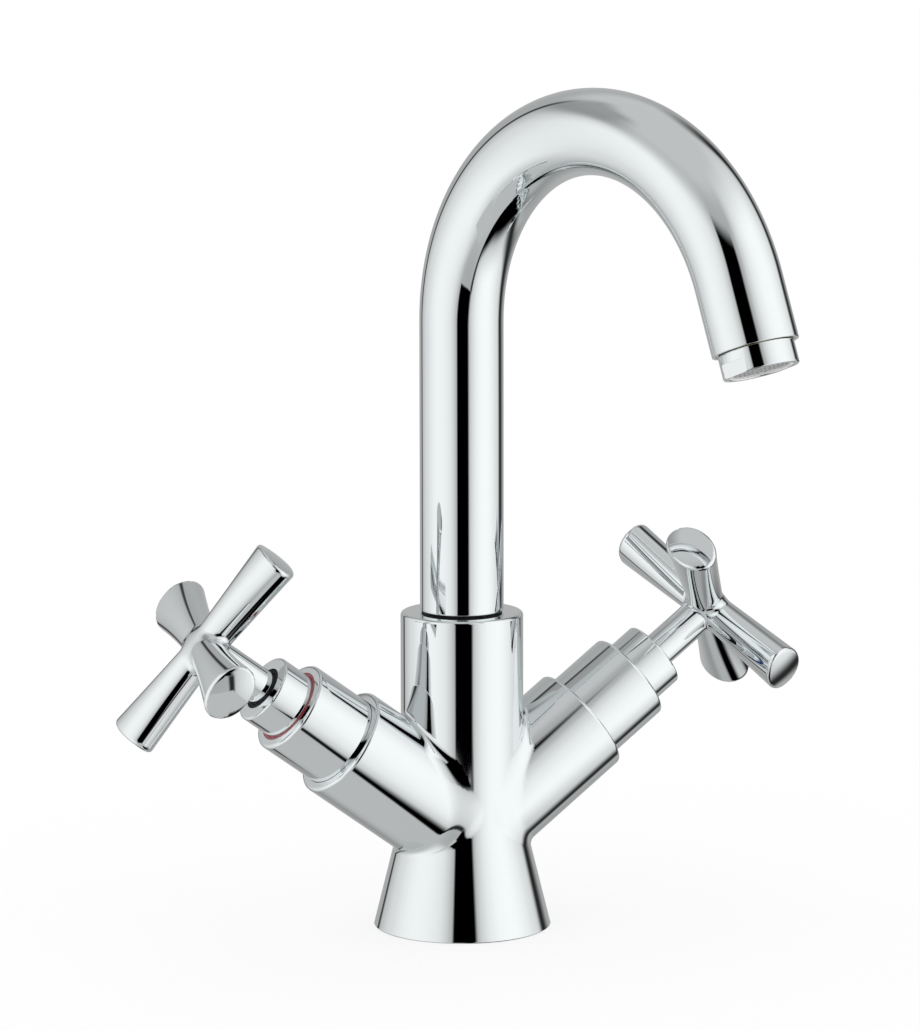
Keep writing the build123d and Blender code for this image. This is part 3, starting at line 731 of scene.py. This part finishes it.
def make_finishes():
    """Every finish on the tap, by the record's slot."""
    dull, glossy = {"Specular_IOR_Level": 0.15}, {"coat": 0.4}
    # Colour, metal, roughness and its play, the grain's scale, the bump in metres, and the shade's play.
    given = {
        "chrome_plate": ((0.803, 0.837, 0.843), 1.0, 0.035, 0.02, 180, 0.0000004, 0.02),
        "machined_brass": ((0.78, 0.62, 0.33), 1.0, 0.26, 0.14, 900, 0.00001, 0.12),
        "stainless_steel": ((0.60, 0.60, 0.61), 1.0, 0.25, 0.12, 900, 0.000005, 0.08),
        "black_rubber": ((0.008, 0.008, 0.009), 0.0, 0.5, 0.1, 2500, 0.000002, 0.2),
        "black_plastic": ((0.008, 0.008, 0.009), 0.0, 0.5, 0.1, 1800, 0.000002, 0.2),
        "white_plastic": ((0.84, 0.84, 0.82), 0.0, 0.4, 0.1, 1500, 0.000008, 0.04),
        "screen_plastic": ((0.45, 0.46, 0.46), 0.0, 0.35, 0.1, 1500, 0.000008, 0.08),
        "white_ceramic": ((0.90, 0.89, 0.86), 0.0, 0.15, 0.05, 1200, 0.000002, 0.02),
        "red_plastic": ((0.34, 0.026, 0.036), 0.0, 0.22, 0.06, 900, 0.000001, 0.08),
        "blue_plastic": ((0.018, 0.05, 0.22), 0.0, 0.22, 0.06, 900, 0.000001, 0.08),
    }
    more = {"black_rubber": dull, "black_plastic": dull, "red_plastic": glossy, "blue_plastic": glossy}
    return {name: surface_finish(name, *values, **more.get(name, {})) for name, values in given.items()}


# The studio

tent_radius, tent_centre = 600, 150
brightest = 1.2
# The walls' light by the turn from the camera, in degrees.
wall_light = [(-180, 0.50), (-145, 0.46), (-118, 0.74), (-100, 0.88), (-75, 1.05), (-45, 1.02), (-28, 0.88),
              (-19, 0.68), (-12, 0.50), (18, 0.50), (24, 0.70), (33, 0.90), (46, 1.06), (64, 1.13), (82, 1.09),
              (100, 0.94), (116, 0.76), (145, 0.44), (180, 0.50)]
strip_turn, strip_distance, strip_side, strip_level = -136, 280, 32, 0.04
card_height, card_level = 10, 0.58
floor_glow = 0.75
lens_length, sensor_width = 180.96, 36.0
view_turn, view_rise = 24.713, 9.214
camera_at = (-703.218, -1526.650, 410.322)
view_level, view_roll = math.radians(view_turn), math.radians(-0.085)
to_camera = Vector((-math.sin(view_level), -math.cos(view_level), 0))
to_right = Vector((math.cos(view_level), -math.sin(view_level), 0))


def make_camera():
    """The camera where the photograph was taken from."""
    rise = math.radians(view_rise)
    back = to_camera * math.cos(rise) + ALONG_Z * math.sin(rise)
    up = back.cross(to_right)
    right = to_right * math.cos(view_roll) + up * math.sin(view_roll)
    up = back.cross(right)
    lens = bpy.data.cameras.new("camera")
    lens.lens, lens.sensor_width, lens.clip_start, lens.clip_end = lens_length, sensor_width, 0.05, 100
    camera = bpy.data.objects.new("camera", lens)
    turn = Matrix((right, up, back)).transposed().to_4x4()
    camera.matrix_world = Matrix.Translation(Vector(camera_at) * MM) @ turn
    bpy.context.collection.objects.link(camera)
    bpy.context.scene.camera = camera


def make_surroundings():
    """Plain white all round."""
    world = bpy.data.worlds.new("studio")
    bpy.context.scene.world = world
    maker = Finish(world)
    around = maker.node("ShaderNodeBackground", Color=(1, 1, 1, 1), Strength=1.0)
    maker.node("ShaderNodeOutputWorld", Surface=around)


def stage_piece(name, bm, shader):
    """Makes a piece of the studio, with the shader that the function builds."""
    mesh = bpy.data.meshes.new(name)
    bm.to_mesh(mesh)
    bm.free()
    piece = bpy.data.objects.new(name, mesh)
    bpy.context.collection.objects.link(piece)
    material = bpy.data.materials.new(name)
    maker = Finish(material)
    maker.node("ShaderNodeOutputMaterial", Surface=shader(maker))
    mesh.materials.append(material)
    return piece


def floor_shader(maker):
    """Plain white with a faint shadow, that reflections look through to the tent below it."""
    path = "ShaderNodeLightPath"
    matt = maker.node("ShaderNodeBsdfDiffuse", Color=(1, 1, 1, 1))
    white = maker.node("ShaderNodeEmission", Color=(1, 1, 1, 1), Strength=1.0)
    clear = maker.node("ShaderNodeBsdfTransparent", Color=(1, 1, 1, 1))
    glow = maker.node(path, out="Is Camera Ray") * floor_glow
    seen = maker.node("ShaderNodeMixShader", **{"0": glow, "1": matt, "2": white})
    reflected = maker.node(path, out="Is Glossy Ray")
    return maker.node("ShaderNodeMixShader", **{"0": reflected, "1": seen, "2": clear})


def make_floor():
    """The pale floor."""
    bm = bmesh.new()
    bmesh.ops.create_grid(bm, x_segments=1, y_segments=1, size=20)
    bmesh.ops.translate(bm, vec=(0, 0, -0.00005), verts=bm.verts)
    stage_piece("floor", bm, floor_shader)


def tent_shader(maker):
    """The light of the white tent round the tap, by its turn from the camera and its rise, in degrees."""
    where = maker.node("ShaderNodeTexCoord", out="Object")
    middle = (0, 0, tent_centre * MM)
    out = maker.node("ShaderNodeVectorMath", {"operation": "SUBTRACT"}, **{"0": where, "1": middle})
    out = maker.node("ShaderNodeVectorMath", {"operation": "NORMALIZE"}, **{"0": out})
    ahead, right, height = (
        maker.node("ShaderNodeVectorMath", {"operation": "DOT_PRODUCT"}, out="Value", **{"0": out, "1": way})
        for way in (to_camera, to_right, ALONG_Z))
    turn = maker.node("ShaderNodeMath", {"operation": "ARCTAN2"}, **{"0": right, "1": ahead}) * (180 / math.pi)
    rise = maker.node("ShaderNodeMath", {"operation": "ARCSINE"}, **{"0": height}) * (180 / math.pi)
    stops = [((at + 180) / 360, (level / brightest,) * 3 + (1,)) for at, level in wall_light]
    walls = maker.node("ShaderNodeValToRGB", {"stops": stops}, Fac=(turn + 180) / 360) * brightest
    right_wall = fade(maker, turn, -10, 40, 0, 1) * fade(maker, turn, 130, 165, 1, 0)
    ceiling = fade(maker, rise, 40, 62, 0.45, 0.63)
    light = toward(walls, ceiling, fade(maker, rise - right_wall * 12, 28, 58, 0, 1))
    light = light * (1 - band(maker, turn, -108, 18, 26) * band(maker, rise, 57, 7, 11) * 0.4)
    below = toward(0.565, fade(maker, rise, -68, -50, 0.5, 0.32), fade(maker, abs(turn), 115, 150, 0, 1))
    light = toward(light, below, fade(maker, rise, -60, -26, 1, 0)) * (1 - tent_seam(maker, turn, rise))
    edge = fade(maker, turn, 13, 52, -45, -60.5)
    dark_ground = fade(maker, turn, 17, 21, 0, 1) * fade(maker, turn, 120, 165, 1, 0)
    dark_ground = dark_ground * fade(maker, rise - edge, -3, 12, 1, 0)
    slit = band(maker, turn, 16.5 - rise * 0.1, 1.2, 3) * fade(maker, rise, -22, -18, 0.95, 0)
    light = light * (1 - dark_ground) * (1 - slit) * (1 - tent_opening(maker, turn, rise))
    return maker.node("ShaderNodeEmission", Color=(1, 1, 1, 1), Strength=light)


def tent_seam(maker, turn, rise):
    """How dark the soft seam behind the tap's right side is."""
    at = fade(maker, rise, -46, -8, 121, 129) - fade(maker, rise, -8, 12, 0, 8)
    at = at + fade(maker, rise, 14, 40, 0, 13)
    inner, outer = fade(maker, rise, -40, -15, 24, 13), fade(maker, rise, -40, -15, 14, 26)
    dark = fade(maker, (at - turn) / inner, 0.1, 1, 1, 0) * fade(maker, (turn - at) / outer, 0.1, 1, 0.96, 0)
    return dark * fade(maker, rise, 40, 66, 1, 0)


def tent_opening(maker, turn, rise):
    """The dark opening in the tent's front that the photograph was taken through."""
    left = fade(maker, rise, 0, 40, -12, -15.5)
    right = fade(maker, rise, -15, 40, 18.5, 12.3)
    across = fade(maker, turn - left, -2, 1.5, 0, 1) * fade(maker, right - turn, -3.5, 1.5, 0, 1)
    foot = rise - abs(turn - 8) * 0.06
    return across * fade(maker, rise, 35, 44, 1, 0) * fade(maker, foot, -21.6, -20.6, 0, 1)


def make_tent():
    """The white tent round the tap, seen only in reflections."""
    bm = bmesh.new()
    bmesh.ops.create_icosphere(bm, subdivisions=5, radius=tent_radius * MM)
    bmesh.ops.translate(bm, vec=(0, 0, tent_centre * MM), verts=bm.verts)
    only_reflected(stage_piece("tent", bm, tent_shader))


def only_reflected(piece):
    """Hides a piece of the studio from everything but reflections."""
    for ray in ("camera", "diffuse", "transmission", "volume_scatter", "shadow"):
        setattr(piece, "visible_" + ray, False)


def soft_card(maker, level, spans):
    """A card of one level with soft edges. Each span is a way, its first and last place and the fade, in mm."""
    where = maker.node("ShaderNodeTexCoord", out="Object")
    shown = 1
    for way, first, last, soft in spans:
        at = maker.node("ShaderNodeVectorMath", {"operation": "DOT_PRODUCT"}, out="Value",
                        **{"0": where, "1": way}) * (1 / MM)
        shown = fade(maker, at, first - soft, first, 0, 1) * fade(maker, at, last, last + soft, 1, 0) * shown
    clear = maker.node("ShaderNodeBsdfTransparent", Color=(1, 1, 1, 1))
    card = maker.node("ShaderNodeEmission", Color=(1, 1, 1, 1), Strength=level)
    return maker.node("ShaderNodeMixShader", **{"0": shown, "1": clear, "2": card})


def make_card(name, corners, level, spans):
    """A card of the studio with those corners in mm, seen only in reflections."""
    bm = bmesh.new()
    bm.faces.new([bm.verts.new(corner * MM) for corner in corners])
    only_reflected(stage_piece(name, bm, lambda maker: soft_card(maker, level, spans)))


def make_seam_strip():
    """The dark upright gap behind the tap's left side, nearer than the tent's wall."""
    turn = math.radians(strip_turn)
    way = to_camera * math.cos(turn) + to_right * math.sin(turn)
    along = way.cross(ALONG_Z)
    corners = [way * strip_distance + along * side + ALONG_Z * height for side, height in
               ((-strip_side, -300), (strip_side, -300), (strip_side, 660), (-strip_side, 660))]
    make_card("seam", corners, strip_level, [(along, -4, 4, 26), (ALONG_Z, -300, 470, 170)])


def make_low_card():
    """The grey card that lies low in front of the hot handle."""
    corners = [to_right * across + to_camera * ahead + ALONG_Z * card_height for across, ahead in
               ((-139, 113), (9, 113), (9, 199), (-139, 199))]
    make_card("low_card", corners, card_level, [(to_right, -130, 0, 8), (to_camera, 122, 190, 8)])


# Putting it together

finishes = make_finishes()
slot_of = {p["node"]: p["material_slot"] for p in frame["record"]["subparts"]}
for name, node in frame["nodes"].items():
    node.data.materials.clear()
    node.data.materials.append(finishes[slot_of[name]])
chrome = finishes["chrome_plate"]

body = finish_piece("chromed_body", body_mesh(), "body", chrome, ["body_casting"])
cut_hole(body, stop_screw_hole, (0, 12, stop_screw_z), (0, 26, stop_screw_z))
true_normals(body, body_surface)

for word, side, turn, colour in (("hot", -1, hot_turn, "red_plastic"), ("cold", 1, cold_turn, "blue_plastic")):
    place = arm_place(side)
    finish_piece(word + "_valve_sleeve", sleeve_mesh(), "body", chrome,
                 [word + "_sleeve"], place)
    finish_piece(word + "_stem_bush", bush_mesh(), "body", chrome,
                 [word + "_guide_bush"], place)
    finish_piece(word + "_colour_ring", index_ring_mesh(), "body", finishes[colour],
                 [word + "_index_ring"], place)
    finish_piece(word + "_wiper_ring", stem_seal_mesh(), "body", finishes["black_rubber"],
                 [word + "_stem_seal"], place)
    hub = handle_place(side, turn)
    cross = finish_piece(word + "_cross", cross_mesh(), word + "_handle", chrome,
                         [word + "_cross_handle"], hub, weigh=False)
    across = Vector((math.cos(math.radians(225)), math.sin(math.radians(225)), 0)) * 8
    grub = Vector((0, 0, grub_height - hub_reach))
    cut_hole(cross, grub_hole, hub @ grub, hub @ (grub + across))
    true_normals(cross, cross_surface, hub)

finish_piece("bent_tube", tube_mesh(), "spout", chrome, ["spout_tube"])
finish_piece("black_glide_ring", glide_ring_mesh(), "spout", finishes["black_plastic"],
             ["glide_ring"])
outlet = outlet_place()
finish_piece("outlet_thread_bush", outlet_bush_mesh(), "spout", finishes["machined_brass"],
             ["outlet_bush"], outlet)
shell = finish_piece("aerator_shell", aerator_mesh(), "spout", chrome,
                     ["aerator_housing"], outlet)
cut_flats(shell, outlet)
finish_piece("aerator_mesh_screen", screen_mesh(), "spout", finishes["screen_plastic"],
             ["aerator_screen"], outlet, weigh=False)

make_camera()
make_surroundings()
make_floor()
make_tent()
make_seam_strip()
make_low_card()
bpy.context.scene.view_settings.view_transform = "Standard"
